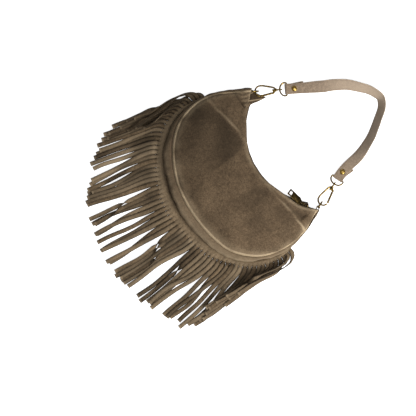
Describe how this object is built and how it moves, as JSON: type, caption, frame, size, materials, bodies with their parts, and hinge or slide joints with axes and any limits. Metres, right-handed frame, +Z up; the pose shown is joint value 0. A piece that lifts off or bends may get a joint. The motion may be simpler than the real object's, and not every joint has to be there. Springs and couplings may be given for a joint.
{
  "type": "fringed suede shoulder bag",
  "caption": "Soft half-moon suede shoulder bag with a zipped concave mouth, a long slit fringe round the bottom and a short strap clipped to rings with swivel hooks.",
  "frame": {"origin": "centre of the bounding box, on the surface the bag lies on", "axes": "+X from the left ear to the right ear, +Y from the fringe to the strap, +Z up out of the front panel"},
  "size_m": [0.3286, 0.5116, 0.0475],
  "materials": {
    "body_suede": "brushed suede",
    "fringe_suede": "suede, cut edges",
    "strap_suede": "brushed suede",
    "zip_tape": "woven",
    "antique_brass": "antique, polished on edges",
    "dark_brass": "dark antique",
    "rivet_brass": "polished dome"
  },
  "bodies": {
    "bag": {"front_panel": "body_suede", "back_panel": "body_suede", "bottom_gusset": "body_suede", "fringe": "fringe_suede", "zip_facing_front": "body_suede", "zip_facing_back": "body_suede", "zip_tape_front": "zip_tape", "zip_tape_back": "zip_tape", "zip_teeth_front": "antique_brass", "zip_teeth_back": "antique_brass", "zip_stop_left": "antique_brass", "zip_stop_right": "antique_brass", "side_tab_left": "body_suede", "side_tab_right": "body_suede", "strap": "strap_suede", "rivet_left_cap": "rivet_brass", "rivet_left_post": "rivet_brass", "rivet_right_cap": "rivet_brass", "rivet_right_post": "rivet_brass"},
    "zip_slider": {"zip_slider": "dark_brass"},
    "zip_pull": {"zip_pull": "dark_brass"},
    "strap_ring_left": {"strap_ring_left": "antique_brass", "hook_left_swivel": "antique_brass"},
    "hook_left": {"hook_left_body": "antique_brass", "hook_left_pin": "antique_brass", "hook_left_spring": "antique_brass"},
    "gate_left": {"hook_left_gate": "antique_brass"},
    "body_ring_left": {"body_ring_left": "antique_brass"},
    "strap_ring_right": {"strap_ring_right": "antique_brass", "hook_right_swivel": "antique_brass"},
    "hook_right": {"hook_right_body": "antique_brass", "hook_right_pin": "antique_brass", "hook_right_spring": "antique_brass"},
    "gate_right": {"hook_right_gate": "antique_brass"},
    "body_ring_right": {"body_ring_right": "antique_brass"}
  },
  "joints": [
    {"name": "zip_slide", "type": "hinge", "parent": "bag", "child": "zip_slider", "pos_m": [0, 0.1441, 0.011], "axis": [0, 0, -1], "range_deg": [0, 88]},
    {"name": "zip_pull_swing", "type": "hinge", "parent": "zip_slider", "child": "zip_pull", "pos_m": [0.08807, 0.06053, 0.01439], "axis": [-0.5129, 0.4867, -0.7071], "range_deg": [-13, 100]},
    {"name": "strap_ring_left_tilt", "type": "hinge", "parent": "bag", "child": "strap_ring_left", "pos_m": [-0.081, 0.1293, 0.0084], "axis": [-0.9, 0.436, 0], "range_deg": [-1.5, 1.5]},
    {"name": "hook_left_swivel_turn", "type": "hinge", "parent": "strap_ring_left", "child": "hook_left", "pos_m": [-0.0858, 0.1194, 0.0084], "axis": [-0.436, -0.9, 0], "range_deg": [-20, 20]},
    {"name": "gate_left_open", "type": "hinge", "parent": "hook_left", "child": "gate_left", "pos_m": [-0.08646, 0.10794, 0.0084], "axis": [0, 0, -1], "range_deg": [0, 22], "stiffness_Nm_per_rad": 0.004, "springref_deg": -20.05},
    {"name": "body_ring_left_turn", "type": "hinge", "parent": "bag", "child": "body_ring_left", "pos_m": [-0.1052, 0.07935, 0.0084], "axis": [0, 0, 1], "range_deg": [-8, 8]},
    {"name": "strap_ring_right_tilt", "type": "hinge", "parent": "bag", "child": "strap_ring_right", "pos_m": [0.081, 0.1293, 0.0084], "axis": [-0.9, -0.436, 0], "range_deg": [-1.5, 1.5]},
    {"name": "hook_right_swivel_turn", "type": "hinge", "parent": "strap_ring_right", "child": "hook_right", "pos_m": [0.0858, 0.1194, 0.0084], "axis": [0.436, -0.9, 0], "range_deg": [-20, 20]},
    {"name": "gate_right_open", "type": "hinge", "parent": "hook_right", "child": "gate_right", "pos_m": [0.09438, 0.11178, 0.0084], "axis": [0, 0, -1], "range_deg": [0, 22], "stiffness_Nm_per_rad": 0.004, "springref_deg": -20.05},
    {"name": "body_ring_right_turn", "type": "hinge", "parent": "bag", "child": "body_ring_right", "pos_m": [0.1052, 0.07935, 0.0084], "axis": [0, 0, 1], "range_deg": [-8, 8]}
  ]
}
